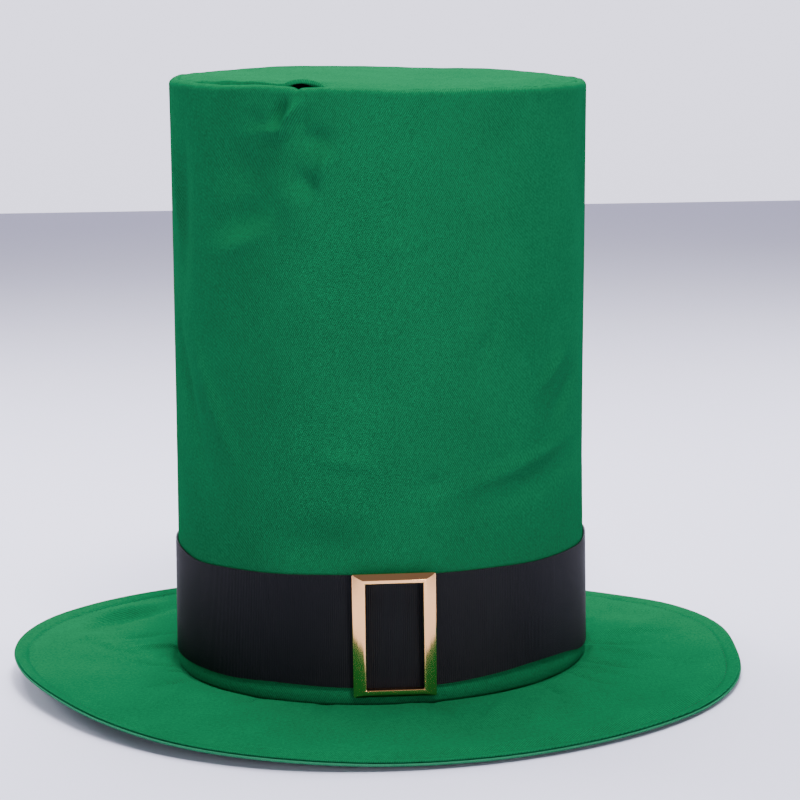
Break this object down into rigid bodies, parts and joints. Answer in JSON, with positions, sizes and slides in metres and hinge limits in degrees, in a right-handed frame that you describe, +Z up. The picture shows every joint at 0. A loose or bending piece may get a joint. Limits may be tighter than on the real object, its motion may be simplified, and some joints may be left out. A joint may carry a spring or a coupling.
{
  "type": "leprechaun top hat",
  "caption": "Tall green twill top hat with a round tip, a wide two-layer brim, a black ribbed band and a flat metal frame buckle, standing on its brim.",
  "frame": {"origin": "middle of the hat's plan, on the surface that its brim rests on", "axes": "+Z up the crown, -Y to the front where the buckle is, -X to the hat's left in the picture"},
  "size_m": [0.3424, 0.3414, 0.2806],
  "materials": {
    "twill": "green polyester twill with a soft satin sheen",
    "ribbon": "black ribbed ribbon",
    "buckle_metal": "polished rose gold plate"
  },
  "bodies": {
    "root": {"crown_side": "twill", "crown_tip": "twill", "brim_upper": "twill", "brim_under": "twill", "hat_band": "ribbon", "buckle": "buckle_metal"}
  },
  "joints": []
}
